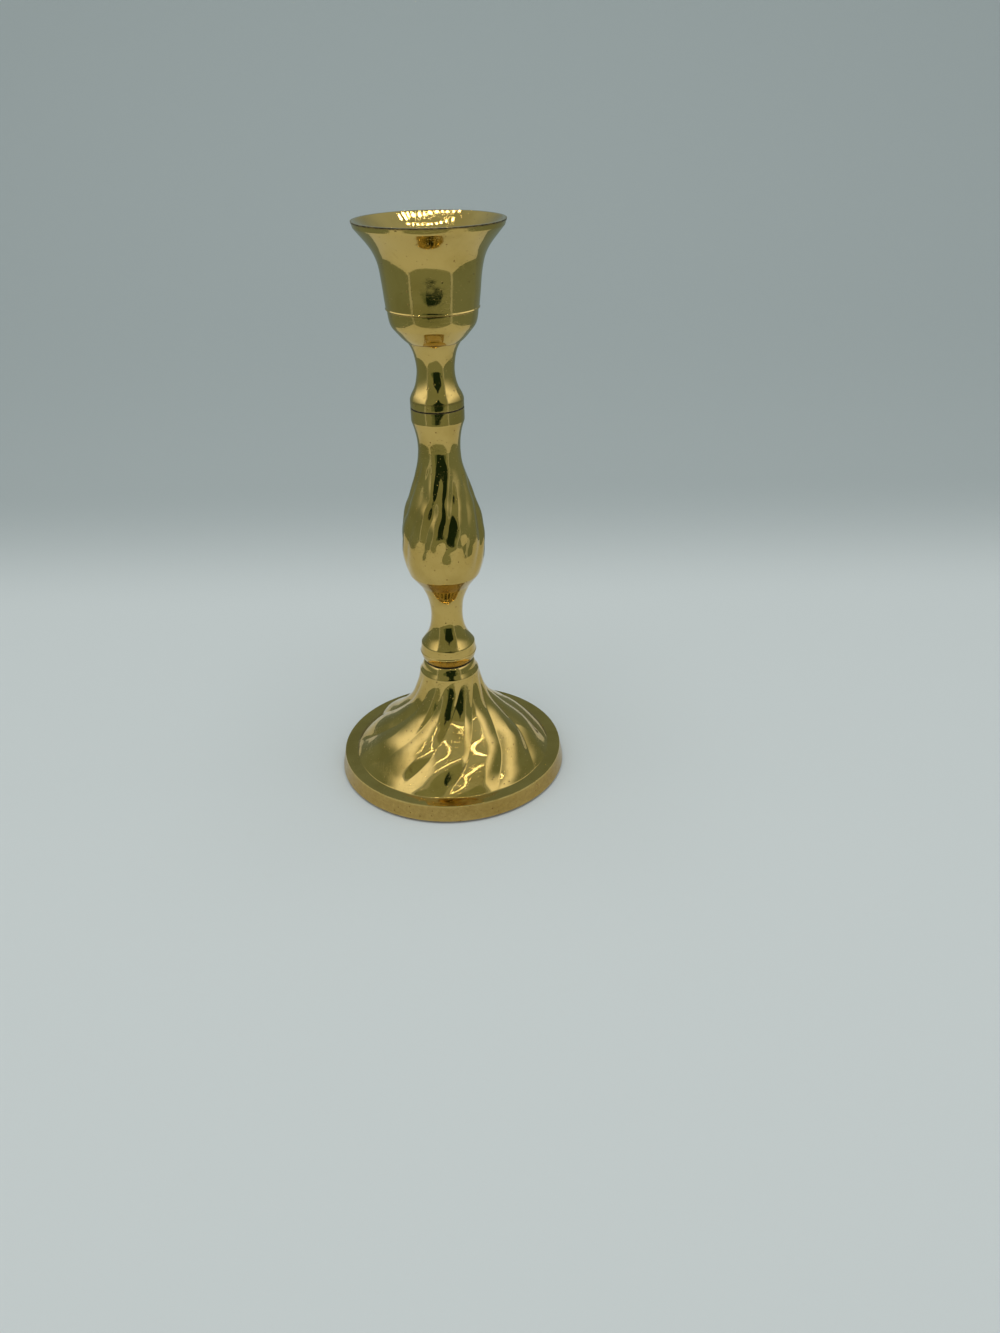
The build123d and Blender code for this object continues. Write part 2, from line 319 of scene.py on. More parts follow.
def colour_setting(name, description, default, **limit):
    """A colour that the user can change, up to 1 where no other limit is given."""
    limit = limit or {"max": 1}
    return bpy.props.FloatVectorProperty(
        name=name, description=description, default=default, subtype="COLOR", size=3, min=0, **limit
    )


class CandlestickSizes(bpy.types.PropertyGroup):
    """Sizes of the turned and twisted pieces."""

    foot_diameter: length_setting("Foot diameter", "Across the foot band of the base", foot_size.x)
    rim_diameter: length_setting("Rim diameter", "Across the lip of the candle cup", cup_size.x)
    socket_diameter: length_setting("Socket diameter", "Across the hole that takes the candle", 0.0224)
    bulb_diameter: length_setting("Bulb diameter", "Across the widest level of the bulb", 0.0266)
    lobe_count: bpy.props.IntProperty(
        name="Lobes",
        description="Twisted lobes round the base and round the bulb",
        default=12,
        min=3,
        max=24,
    )
    swirl_turn: angle_setting("Swirl turn", "How far a lobe of the base turns on its way up", 60.0)
    swirl_start: angle_setting(
        "Swirl start", "Direction of the first valley of the base at the ledge", 237.7
    )
    bulb_turn: angle_setting("Bulb turn", "How far a lobe of the bulb turns on its way up", 51.0)
    bulb_start: angle_setting("Bulb start", "Direction of the first valley of the bulb at its foot", 258.3)
    bulb_valley_depth: length_setting(
        "Bulb valley depth", "How deep the valleys between the bulb's lobes are", 0.00045
    )
    valley_roundness: share_setting(
        "Valley roundness",
        "How far polishing has rounded the valleys, as a share of a lobe",
        0.05,
        least=0.005,
        most=0.5,
    )
    edge_softness: length_setting(
        "Edge softness", "How far polishing has rounded the turned corners", 0.0001
    )
    unevenness: length_setting(
        "Unevenness", "How far hand polishing leaves the surface from true", 0.00002
    )


class BrassFinish(bpy.types.PropertyGroup):
    """Colours and surface of the polished brass castings."""

    polished: colour_setting("Polished brass", "Colour of the clean metal", (0.66, 0.455, 0.138))
    mellow: colour_setting("Mellow brass", "Colour where the polish has dulled", (0.57, 0.385, 0.105))
    # Painted highlight: a lighter brass that the material lays along the sharp turned edges.
    painted_edge_highlight: colour_setting(
        "Rubbed brass", "Colour where handling keeps the sharp edges bright", (0.74, 0.53, 0.19)
    )
    tarnish: colour_setting(
        "Tarnish", "Colour of the brown spots and of the metal round the seams", (0.30, 0.17, 0.045)
    )
    residue: colour_setting(
        "Polish residue", "Colour of the old polish left in seams and valleys", (0.035, 0.028, 0.012)
    )
    gloss: share_setting("Polished roughness", "Roughness of the best polished places", 0.03)
    haze: share_setting("Haze", "Roughness that handling adds in patches", 0.055)


class FeltFinish(bpy.types.PropertyGroup):
    """Colours of the felt under the foot."""

    pile: colour_setting("Felt", "Colour of the felt", (0.075, 0.006, 0.014))
    worn: colour_setting("Worn felt", "Colour where the pile has been flattened", (0.12, 0.018, 0.030))
    lint: colour_setting("Lint", "Colour of the dust, specks and loose fibres", (0.42, 0.34, 0.34))
    undulation: length_setting("Undulation", "How far the glued felt rises and falls", 0.00004)


class HiddenFinish(bpy.types.PropertyGroup):
    """Colours of the steel parts and of the card inside the foot."""

    plating: colour_setting(
        "Plated steel", "Colour of the zinc plated rod, washers and nut", (0.52, 0.52, 0.50)
    )
    rust: colour_setting("Rust", "Colour of the spots where the plating has gone", (0.16, 0.055, 0.02))
    card: colour_setting("Card", "Colour of the grey board behind the felt", (0.30, 0.26, 0.20))


class StudioLook(bpy.types.PropertyGroup):
    """Floor, backdrop, lamps and the tent that the brass reflects."""

    floor: colour_setting("Floor", "Colour of the pale floor", (0.66, 0.715, 0.71))
    backdrop: colour_setting("Backdrop", "Colour of the backdrop above the bend", (0.365, 0.42, 0.42))
    side_wall: colour_setting("Side wall", "Colour of the tent's walls in the brass", (0.19, 0.245, 0.21))
    wall_top: colour_setting(
        "Wall top", "Glow of the tent's walls by the lamps, in the brass", (1.15, 1.22, 1.35), soft_max=2
    )
    back_wall: colour_setting("Back wall", "Colour of the tent's back in the brass", (0.17, 0.225, 0.21))
    room: colour_setting(
        "Room", "Colour of the dim room in front of the tent, in the brass", (0.23, 0.28, 0.22)
    )
    ceiling: colour_setting("Ceiling", "Colour of the tent's ceiling in the brass", (0.40, 0.47, 0.50))
    dark_card: colour_setting("Dark card", "Colour of the dark card and posts", (0.012, 0.026, 0.016))
    dim_card: colour_setting("Dim card", "Colour of the card behind the dark one", (0.10, 0.145, 0.095))
    bead: colour_setting("Lamp bead", "Colour of the small lamps in the brass", (1.0, 1.0, 0.93))
    bead_glow: bpy.props.FloatProperty(
        name="Lamp bead glow",
        description="Strength of the small lamps along the tent's ceiling, as the brass shows them",
        default=45.0,
        min=0,
    )
    lamp_power: bpy.props.FloatProperty(
        name="Lamp power", description="Power of the soft lamp above", default=2.8, unit="POWER"
    )
    sky: bpy.props.FloatProperty(
        name="Soft light", description="Strength of the even light from all round", default=0.67, min=0
    )


SETTINGS = {
    "candlestick_sizes": CandlestickSizes,
    "candlestick_brass": BrassFinish,
    "candlestick_felt": FeltFinish,
    "candlestick_hidden": HiddenFinish,
    "candlestick_studio": StudioLook,
}


# Outlines: rows of radius, level, valley depth and surface freedom, all in millimetres but the last,
# which is 1 where the surface is open to polishing and 0 where pieces meet


def along(start, end, shares):
    """Points of an outline from start to end, each at a share of the step out and of the rise."""
    step_out = end[0] - start[0]
    rise = end[1] - start[1]
    return [(start[0] + step_out * out, start[1] + rise * up) for out, up in shares]


def natural_curve(points, spacing=0.08):
    """A smooth curve through points of any width, about a spacing apart."""
    points = np.array(points, float)
    knots = np.concatenate([[0], np.cumsum(np.linalg.norm(np.diff(points[:, :2], axis=0), axis=1))])
    gaps = np.diff(knots)
    count = len(points)
    system = np.eye(count)
    right = np.zeros_like(points)
    for k in range(1, count - 1):
        system[k, k - 1 : k + 2] = gaps[k - 1], 2 * (gaps[k - 1] + gaps[k]), gaps[k]
        right[k] = 6 * ((points[k + 1] - points[k]) / gaps[k] - (points[k] - points[k - 1]) / gaps[k - 1])
    bend = np.linalg.solve(system, right)
    at = np.linspace(0, knots[-1], max(2, int(knots[-1] / spacing) + 1))
    k = np.clip(np.searchsorted(knots, at, side="right") - 1, 0, count - 2)
    before, after, gap = (at - knots[k])[:, None], (knots[k + 1] - at)[:, None], gaps[k][:, None]
    return (
        bend[k] * after**3 / (6 * gap)
        + bend[k + 1] * before**3 / (6 * gap)
        + (points[k] / gap - bend[k] * gap / 6) * after
        + (points[k + 1] / gap - bend[k + 1] * gap / 6) * before
    )


def with_valleys(points):
    """Points of an outline as rows of radius, level and valley depth, which is 0 unless a point gives it."""
    return np.array([(*point, 0.0)[:3] for point in points], float)


def straight(*points, free=1.0):
    """A run of an outline in straight lines from point to point."""
    rows = with_valleys(points)
    return np.column_stack([rows, np.full(len(rows), free)])


def curved(*points, free=1.0):
    """A run of an outline in one smooth curve through its points."""
    rows = natural_curve(with_valleys(points))
    return np.column_stack([rows, np.full(len(rows), free)])


def joined(*runs):
    """The runs one after another, without the points that two of them share."""
    rows = [runs[0]]
    for part in runs[1:]:
        same = np.allclose(part[0, :2], rows[-1][-1, :2], atol=1e-6)
        rows.append(part[1:] if same else part)
    return np.concatenate(rows)


def even_rows(rows, step):
    """The outline with rows an even step apart."""
    at = np.concatenate([[0], np.cumsum(np.hypot(*np.diff(rows[:, :2], axis=0).T))])
    places = np.linspace(0, at[-1], max(8, int(at[-1] / step)) + 1)
    return np.column_stack([np.interp(places, at, column) for column in rows.T])


def spread(values, reach, ring):
    """Values along an outline, each blurred over its neighbours within about reach rows."""
    half = int(math.ceil(3 * reach))
    weights = np.exp(-0.5 * (np.arange(-half, half + 1) / reach) ** 2)
    weights /= weights.sum()
    if ring:
        padded = np.concatenate([values[-half:], values, values[:half]])
    else:
        ahead = 2 * values[0] - values[1 : half + 1][::-1]
        behind = 2 * values[-1] - values[-half - 1 : -1][::-1]
        padded = np.concatenate([ahead, values, behind])
    return np.column_stack([np.convolve(column, weights, "valid") for column in padded.T])


def polished_outline(rows, softness, ring):
    """The outline with its corners rounded and its rows close together where it bends. Its fifth column
    says how tightly it bends, in radians for each millimetre, below 0 on an edge and above 0 in a groove."""
    if ring:
        rows = np.concatenate([rows, rows[:1]])
    fine = even_rows(rows, fine_step)
    if ring:
        fine = fine[:-1]
    fine[:, :2] = spread(fine[:, :2], softness / fine_step, ring)
    if ring:
        ahead, behind = np.roll(fine, -1, axis=0), np.roll(fine, 1, axis=0)
    else:
        ahead = np.concatenate([fine[1:], fine[-1:]])
        behind = np.concatenate([fine[:1], fine[:-1]])
    before, after = fine[:, :2] - behind[:, :2], ahead[:, :2] - fine[:, :2]
    cross = before[:, 0] * after[:, 1] - before[:, 1] * after[:, 0]
    turn = np.arctan2(cross, (before * after).sum(1))
    bend = -spread(turn[:, None], bend_reach, ring)[:, 0] / fine_step
    bend = spread(np.clip(bend, -sharpest_bend, sharpest_bend)[:, None], bend_blur, ring)[:, 0]
    sharpness = np.abs(spread(np.abs(turn)[:, None], turn_reach, ring)[:, 0])
    seen = hidden_share + (1 - hidden_share) * np.clip(fine[:, 3], 0, 1)
    cost = seen * (np.hypot(*after.T) / longest_step + sharpness / widest_turn)
    total = np.concatenate([[0], np.cumsum(cost)])
    count = int(total[-1]) + 1
    table = np.column_stack([fine, bend])
    if ring:
        table = np.concatenate([table, table[:1]])
        places = np.linspace(0, total[-1], count + 1)[:-1]
    else:
        total = total[:-1]
        places = np.linspace(0, total[-1], count + 1)
    return np.column_stack([np.interp(places, total, column) for column in table.T])


def signed_area(rows):
    """Area inside a closed outline, positive if it runs anticlockwise."""
    r, z = rows[:, 0], rows[:, 1]
    return 0.5 * float(np.sum(r * np.roll(z, -1) - np.roll(r, -1) * z))


def swell(narrow_radius, wide_radius, share):
    """Radius at a share of the way from the narrow to the wide one."""
    return narrow_radius + (wide_radius - narrow_radius) * share


def base_outline(sizes):
    """Closed outline of the base: band, ledge, swirl, collar, bore, hollow and card seat."""
    foot_radius = sizes.foot_diameter / MM / 2
    band_top = base_bottom + band_height
    band_top_radius = foot_radius - band_lean
    ledge_radius = band_top_radius - ledge_width
    rebate_radius = foot_radius - rim_width
    hollow_radius = rebate_radius - card_seat_width
    hollow_roof = band_top - ledge_wall
    web_bottom = base_top - web_thickness
    swirl = []
    inside = []
    for rise, flare, valley in swirl_shares:
        level = band_top + swirl_height * rise
        crest = swell(swirl_top_radius, ledge_radius, flare)
        swirl.append((crest, level, crest * valley))
        if band_top < level < web_bottom:
            inside.append((crest * (1 - valley) - swirl_wall, level))
    shoulder = (collar_radius, base_top - collar_shoulder_height)
    seat = (collar_seat_radius, base_top)
    swirl_end = (swirl_top_radius + swirl_top_step, band_top + swirl_height)
    return joined(
        straight((foot_radius, base_bottom), (band_top_radius, band_top), (ledge_radius, band_top)),
        curved(*swirl),
        straight(swirl_end, shoulder),
        curved(shoulder, *reversed(along(seat, shoulder, collar_shares)), seat),
        straight(
            seat,
            (recess_radius, base_top),
            (recess_radius, base_top - recess_depth),
            (bore_radius, base_top - recess_depth),
            (bore_radius, web_bottom),
            (inside[-1][0], web_bottom),
            inside[-1],
            free=0.0,
        ),
        curved(*reversed(inside), free=0.0),
        straight(
            inside[0],
            (ledge_radius, hollow_roof),
            (hollow_radius, hollow_roof),
            (hollow_radius, card_top),
            (rebate_radius, card_top),
            (rebate_radius, base_bottom),
            free=0.0,
        ),
    )


def stem_outline(sizes):
    """Closed outline of the stem: bead, neck, bevel, bulb, upper neck, collar and the bored spigots."""
    bead_edge = base_top + bead_roll_height
    bead_top = bead_edge + bead_band_height
    bevel_bottom = bead_top + lower_neck_height
    bulb_bottom = bevel_bottom + bevel_height
    bulb_widest = bulb_bottom + bulb_lower_height
    bulb_top = bulb_widest + bulb_upper_height
    bulb_radius = sizes.bulb_diameter / MM / 2
    valley_depth = sizes.bulb_valley_depth / MM
    waist = (lower_neck_radius, (bead_top + bevel_bottom) / 2)
    bead_start = (collar_seat_radius, base_top)
    bead_widest = (bead_radius, bead_edge)
    bead_end = (bead_top_radius, bead_top)
    bevel_start = (bevel_start_radius, bevel_bottom)
    bulb = []
    for shares, narrow_radius, bottom, height in (
        (bulb_lower_shares, bevel_end_radius, bulb_bottom, bulb_lower_height),
        (bulb_upper_shares, upper_neck_radius, bulb_widest, bulb_upper_height),
    ):
        for rise, share, valley in shares:
            radius = swell(narrow_radius, bulb_radius, share)
            bulb.append((radius, bottom + height * rise, valley_depth * valley))
    neck_start = (upper_neck_radius, bulb_top)
    collar_start = (stem_collar_radius, stem_top - stem_collar_height)
    seam_edge = (stem_collar_radius - seam_chamfer, stem_top)
    return joined(
        curved(bead_start, *along(bead_start, bead_widest, bead_shares), bead_widest),
        straight(bead_widest, (bead_radius - bead_step, bead_edge), bead_end),
        curved(
            bead_end,
            *reversed(along(waist, bead_end, neck_foot_shares)),
            waist,
            *along(waist, bevel_start, neck_head_shares),
            bevel_start,
        ),
        straight(bevel_start, (bevel_end_radius, bulb_bottom)),
        curved(*bulb),
        curved(neck_start, *along(neck_start, collar_start, upper_neck_shares), collar_start),
        straight(collar_start, (stem_collar_radius, stem_top - seam_chamfer), seam_edge),
        straight(
            seam_edge,
            (spigot_radius, stem_top),
            (spigot_radius, stem_top + spigot_height),
            (bore_radius, stem_top + spigot_height),
            (bore_radius, base_top - spigot_height),
            (spigot_radius, base_top - spigot_height),
            (spigot_radius, base_top),
            free=0.0,
        ),
    )


def cup_outline(sizes):
    """Outline of the candle cup from the top of its tapped hole, round the outside, to the socket floor."""
    neck_bead_top = stem_top + neck_bead_height
    bowl_bottom = neck_bead_top + cup_neck_height
    bowl_top = bowl_bottom + bowl_height
    lip_bottom = rim_top - rim_height
    rim_radius = sizes.rim_diameter / MM / 2
    socket_radius = sizes.socket_diameter / MM / 2
    socket_mouth = rim_top - socket_flare_height
    socket_floor = socket_mouth - socket_depth
    seam_edge = (stem_collar_radius - seam_chamfer, stem_top)
    neck_bead = (stem_collar_radius, neck_bead_top)
    waist = (cup_neck_radius, (neck_bead_top + bowl_bottom) / 2)
    neck_end = (bowl_start_radius - neck_step, bowl_bottom - neck_step_drop)
    bowl_start = (bowl_start_radius, bowl_bottom)
    bowl_end = (bowl_radius, bowl_top)
    groove = [(bowl_radius - groove_depth, bowl_top + level) for level in groove_levels]
    ring_radius = bowl_radius + bell_overhang + ring_overhang
    ring = [(ring_radius, bowl_top + level) for level in ring_levels]
    bell_start = (bowl_radius + bell_overhang, bowl_top + bell_start_level)
    bell = along(bell_start, (rim_radius, lip_bottom), bell_shares)
    lip_start = (rim_radius - lip_lean, lip_bottom)
    lip_inside = (rim_radius - rim_width_top, rim_top)
    socket_edge = (socket_radius, socket_mouth)
    return joined(
        straight(
            (tip_radius, stem_top + thread_depth),
            (thread_radius, stem_top + thread_depth),
            (thread_radius, stem_top + recess_depth),
            (recess_radius, stem_top + recess_depth),
            (recess_radius, stem_top),
            seam_edge,
            free=0.0,
        ),
        straight(seam_edge, (stem_collar_radius, stem_top + seam_chamfer), neck_bead),
        curved(
            neck_bead,
            *reversed(along(waist, neck_bead, cup_neck_foot_shares)),
            waist,
            *along(waist, neck_end, cup_neck_head_shares),
            neck_end,
        ),
        straight(neck_end, bowl_start),
        curved(bowl_start, *along(bowl_start, bowl_end, bowl_shares), bowl_end),
        straight(bowl_end, *groove, *ring, bell_start),
        curved(bell_start, *bell, lip_start),
        straight(lip_start, (rim_radius, rim_top), lip_inside),
        curved(lip_inside, *reversed(along(socket_edge, lip_inside, flare_shares)), socket_edge),
        straight(socket_edge, (socket_radius, socket_floor), (tip_radius, socket_floor)),
    )


# Turned meshes


def ripple(angle, level, seed, waves, fewest, above_most):
    """Rise and fall of a hand-polished surface as a sum of random waves, mostly between -1 and 1."""
    random = np.random.default_rng(seed)
    total = np.zeros_like(angle)
    for _ in range(waves):
        round_count = random.integers(fewest, above_most)
        climb = random.uniform(-1.0, 1.0)
        phase = random.uniform(0, FULL_TURN)
        total += np.sin(round_count * angle + climb * level + phase)
    return total / math.sqrt(waves)


def polishing(angle, level, unevenness, seed, wavy_levels):
    """How far the polished surface lies from true, with the bulb's waves between the wavy levels."""
    rough = ripple(angle, level, seed, *slow_waves) * unevenness
    if wavy_levels is None:
        return rough
    low, high = wavy_levels
    place = np.clip((level - low) / (high - low), 0, 1)
    waves = ripple(angle, bulb_wave_climb * level, seed + 1, *bulb_waves)
    return rough + waves * bulb_wave_height * (4 * place * (1 - place))


def lobe_columns(lobe_count, per_lobe):
    """Places of the columns as shares of a lobe, closer together at the valleys."""
    even = np.arange(lobe_count * per_lobe) / per_lobe
    return even - valley_crowding * np.sin(FULL_TURN * even) / FULL_TURN


def lobe_section(shares, roundness):
    """Height of the lobes at shares of a lobe, from 0 in the rounded valleys to 1 on the crests."""
    wave = np.sqrt(np.sin(math.pi * shares) ** 2 + roundness**2) - roundness
    return wave / (math.sqrt(1 + roundness**2) - roundness)


def twist(turn, bottom, height):
    """A function that says how far lobes have turned at a level, if they turn evenly on their way up."""
    return lambda level: turn * np.clip((level - bottom) / height, 0, 1)


def mark_by(level, radius, above, reach, inset, strength):
    """A dark mark by an edge at a level and radius, in the form that a list of marks takes."""
    return level + above, reach, radius - inset, strength


def polish_and_marks(rows, seams, marks):
    """How much old polish each row holds in its grooves and by the seams, and how dark the marks make it,
    from 0 to 1. A mark gives its level, its reach up and down, the radius outside which it lies and its
    strength."""
    radius, level, _, _, bend = rows.T
    beside = sum((np.exp(-(((level - seam) / beside_seam) ** 2)) for seam in seams), np.zeros_like(level))
    inside = sum((np.exp(-(((level - seam) / inside_seam) ** 4)) for seam in seams), np.zeros_like(level))
    groove = np.clip(bend, 0, None) / groove_bend
    held = groove * np.clip(open_groove_share + beside, 0, 1) + seam_share * inside
    for mark_level, reach, inner, strength in marks:
        held = held + strength * np.exp(-(((level - mark_level) / reach) ** 4)) * (radius > inner)
    return np.clip(held, 0, 1)


def grid_faces(row_count, column_count, ring):
    """Faces between neighbouring rows and columns, closed round the piece and, in a ring, end to end."""
    row = np.arange(row_count if ring else row_count - 1)[:, None]
    column = np.arange(column_count)[None, :]
    next_row, next_column = (row + 1) % row_count, (column + 1) % column_count
    corners = [
        row * column_count + column,
        row * column_count + next_column,
        next_row * column_count + next_column,
        next_row * column_count + column,
    ]
    return np.stack(corners, -1).reshape(-1, 4)


def end_fans(point_count, column_count, upright):
    """Faces that close the first and the last row with fans round two more points on the middle line."""
    here = np.arange(column_count)
    after = (here + 1) % column_count
    last = point_count - column_count
    first_tip = np.full(column_count, point_count)
    start_fan = np.column_stack([first_tip, after, here])
    end_fan = np.column_stack([first_tip + 1, last + here, last + after])
    if not upright:
        start_fan, end_fan = start_fan[:, ::-1], end_fan[:, ::-1]
    return start_fan.tolist() + end_fan.tolist()


def lathe_mesh(
    name, rows, ring, unevenness, seed, lobe_count, per_lobe=1, roundness=0.0, turned=None, start=0.0,
    wavy_levels=None, seams=(), marks=(),
):
    """A closed mesh turned from an outline, with lobes that follow a twist. Its hollow attribute says how
    much old polish a point holds in grooves and by seams, and how dark a mark makes it; its edge attribute
    says how sharp an edge it is on, which sets the painted edge highlight. Both run from 0 to 1."""
    radius, level, valley, free, bend = rows.T
    shares = lobe_columns(lobe_count, per_lobe)
    turn = np.zeros(len(rows)) if turned is None else turned(level)
    angle = start + turn[:, None] + FULL_TURN * shares[None, :] / lobe_count
    surface = radius[:, None] - valley[:, None] * (1 - lobe_section(shares, roundness))[None, :]
    surface = surface + polishing(angle, level[:, None], unevenness, seed, wavy_levels) * free[:, None]
    x, y = surface * np.cos(angle), surface * np.sin(angle)
    z = np.broadcast_to(level[:, None], x.shape)
    points = (np.stack([x, y, z], -1).reshape(-1, 3) * MM).tolist()
    upright = signed_area(rows) > 0
    faces = grid_faces(*x.shape, ring)
    faces = (faces if upright else faces[:, ::-1]).tolist()
    if not ring:
        faces += end_fans(len(points), x.shape[1], upright)
        points += [(0, 0, rows[0, 1] * MM), (0, 0, rows[-1, 1] * MM)]
    mesh = bpy.data.meshes.new(name)
    mesh.from_pydata(points, [], faces)
    edge = np.clip(-bend / edge_bend, 0, 1)
    for label, values in (("hollow", polish_and_marks(rows, seams, marks)), ("edge", edge)):
        at_points = np.zeros(len(points), np.float32)
        at_points[: x.size] = np.repeat(values, x.shape[1])
        mesh.attributes.new(label, "FLOAT", "POINT").data.foreach_set("value", at_points)
    mesh.shade_smooth()
    mesh.update()
    return mesh


def placed(context, mesh, material, slot, *nodes):
    """The mesh as a piece that stands for CAD nodes, which it hides, rides on the frame and takes the given
    material. The slot is not used.
    """
    mesh.materials.append(material)
    piece = bpy.data.objects.new(mesh.name, mesh)
    context.scene.collection.objects.link(piece)
    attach(piece, "root")
    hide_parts(*nodes)
    return piece


# Materials


def new_material(name):
    """A material with only a Principled shader and its output, and the two to build on."""
    material = bpy.data.materials.new(name)
    material.use_nodes = True
    tree = material.node_tree
    return material, tree, tree.nodes["Principled BSDF"]


def add(tree, kind, sockets=None, **settings):
    """A node of a kind with its settings, whose sockets take a value or a link."""
    node = tree.nodes.new("ShaderNode" + kind)
    for name, value in settings.items():
        setattr(node, name, value)
    for key, value in (sockets or {}).items():
        if isinstance(value, bpy.types.NodeSocket):
            tree.links.new(value, node.inputs[key])
        else:
            node.inputs[key].default_value = value
    return node


def in_millimetres(tree, stretch=(1, 1, 1), turn=(0, 0, 0)):
    """Places on the piece in millimetres, stretched and turned for a pattern."""
    place = add(tree, "TexCoord").outputs["Object"]
    scale = tuple(s / MM for s in stretch)
    return add(tree, "Mapping", {"Vector": place, "Rotation": turn, "Scale": scale}).outputs[0]


def noise(tree, place, scale, detail=2.0, roughness=0.5, distortion=0.0):
    """Cloudy noise from 0 to 1, with scale in features for each millimetre."""
    sockets = {"Vector": place, "Scale": scale, "Detail": detail}
    sockets |= {"Roughness": roughness, "Distortion": distortion}
    return add(tree, "TexNoise", sockets).outputs["Fac"]


def between(tree, value, low, high, to_low=0.0, to_high=1.0, smooth=True):
    """The value's way from low to high, as a number from to_low to to_high that stays between them."""
    return add(
        tree,
        "MapRange",
        {"Value": value, "From Min": low, "From Max": high, "To Min": to_low, "To Max": to_high},
        interpolation_type="SMOOTHSTEP" if smooth else "LINEAR",
    ).outputs["Result"]


def maths(tree, operation, *values, clamp=False):
    """One sum, product or other operation on two or three values."""
    return add(tree, "Math", dict(enumerate(values)), operation=operation, use_clamp=clamp).outputs[0]


def times(tree, first, second, clamp=False):
    """The product of two values."""
    return maths(tree, "MULTIPLY", first, second, clamp=clamp)


def mixed(tree, share, first, second):
    """Two colours mixed by a share."""
    colours = [c if isinstance(c, bpy.types.NodeSocket) else (*c, 1.0) for c in (first, second)]
    return add(tree, "Mix", {0: share, 6: colours[0], 7: colours[1]}, data_type="RGBA").outputs[2]


def dimmed(colour, share):
    """A share of a colour."""
    return tuple(share * c for c in colour)


def attribute(tree, name):
    """A number that the mesh holds at each point."""
    return add(tree, "Attribute", attribute_name=name, attribute_type="GEOMETRY").outputs["Fac"]


def spots(tree, place, scale, reach, share):
    """Small round spots, one in a share of the cells of a random pattern."""
    cell = add(tree, "TexVoronoi", {"Vector": place, "Scale": scale, "Randomness": 1.0})
    chance = add(tree, "SeparateColor", {0: cell.outputs["Color"]}).outputs[0]
    lucky = between(tree, chance, 1 - share, 1 - share + 0.02)
    close = between(tree, cell.outputs["Distance"], reach, reach * 0.35)
    return times(tree, lucky, close)


def fine_lines(tree, place, width):
    """Thin long lines along the borders of a stretched cell pattern."""
    sockets = {"Vector": place, "Scale": 1.0, "Randomness": 1.0}
    cell = add(tree, "TexVoronoi", sockets, feature="DISTANCE_TO_EDGE")
    return between(tree, cell.outputs["Distance"], width, width * 0.2)


def raised(tree, *layers):
    """The surface raised by heights on top of one another, each with its distance in metres."""
    normal = None
    for height, distance in layers:
        sockets = {"Height": height, "Distance": distance, "Strength": 1.0}
        if normal is not None:
            sockets["Normal"] = normal
        normal = add(tree, "Bump", sockets).outputs[0]
    return normal


def finish(tree, shader, **sockets):
    """Sets or links sockets of the shader, whose names have a low line for each space."""
    for name, value in sockets.items():
        socket = shader.inputs[name.replace("_", " ")]
        if isinstance(value, bpy.types.NodeSocket):
            tree.links.new(value, socket)
        else:
            socket.default_value = value


def brass_material(look):
    """Polished brass with mellow patches, a painted highlight along sharp edges, haze, turning lines,
    scratches, pits, dark residue and dark marks.
    """
    material, tree, shader = new_material("polished_brass")
    place = in_millimetres(tree)
    patches = between(tree, noise(tree, place, 0.07, 4.0, 0.6), 0.40, 0.66)
    stains = between(tree, noise(tree, place, 0.22, 5.0, 0.65, 0.6), 0.64, 0.74)
    marks = maths(tree, "MAXIMUM", spots(tree, place, 0.55, 0.19, 0.38), spots(tree, place, 1.5, 0.22, 0.20))
    # Painted highlight along the sharp turned edges, broken up by noise.
    painted_edge_highlight = between(tree, noise(tree, place, 0.5, 3.0), 0.30, 0.60)
    painted_edge_highlight = times(tree, attribute(tree, "edge"), painted_edge_highlight, clamp=True)
    broken = between(tree, noise(tree, place, 0.9, 4.0, 0.7), 0.25, 0.60, 0.45, 1.35, smooth=False)
    # Darkening from old polish in the grooves and seams, and from the dark marks by the lip, the foot band,
    # the bevel and other edges.
    darkening = times(tree, attribute(tree, "hollow"), broken, clamp=True)
    halo = between(tree, darkening, 0.02, 0.35)
    deep = between(tree, darkening, 0.30, 0.85)
    colour = mixed(tree, patches, look.polished, look.mellow)
    for share, amount, tint in (
        (stains, 0.36, look.tarnish),
        (marks, 0.8, look.tarnish),
        (painted_edge_highlight, 0.75, look.painted_edge_highlight),
        (halo, 0.45, look.tarnish),
    ):
        colour = mixed(tree, times(tree, share, amount), colour, tint)
    colour = mixed(tree, deep, colour, look.residue)

    turned = noise(tree, in_millimetres(tree, (0.06, 0.06, 7.0)), 1.0, 3.0, 0.6)
    scratches = maths(
        tree,
        "MAXIMUM",
        fine_lines(tree, in_millimetres(tree, (0.035, 0.9, 0.9), (0.3, 0.5, 0.9)), 0.012),
        fine_lines(tree, in_millimetres(tree, (0.9, 0.05, 0.7), (0.8, 0.1, 0.4)), 0.010),
    )
    scratches = times(tree, scratches, between(tree, noise(tree, place, 0.16, 2.0), 0.48, 0.62))
    hazy = between(tree, noise(tree, place, 0.13, 5.0, 0.7), 0.42, 0.70)
    rough = maths(tree, "MULTIPLY_ADD", hazy, look.haze, look.gloss)
    for share, amount in ((turned, 0.03), (scratches, 0.10), (marks, 0.25), (darkening, 0.45)):
        rough = maths(tree, "MULTIPLY_ADD", share, amount, rough)

    dents = maths(tree, "ADD", times(tree, scratches, 0.12), marks)
    normal = raised(
        tree,
        (turned, 0.0000012),
        (noise(tree, place, 1.6, 3.0, 0.6), 0.0000035),
        (noise(tree, place, 0.24, 1.2, 0.4), 0.00006),
        (maths(tree, "SUBTRACT", 1.0, dents), 0.00003),
    )
    metal = between(tree, deep, 0.0, 1.0, 1.0, 0.45)
    finish(tree, shader, Base_Color=colour, Roughness=rough, Metallic=metal, Normal=normal)
    return material


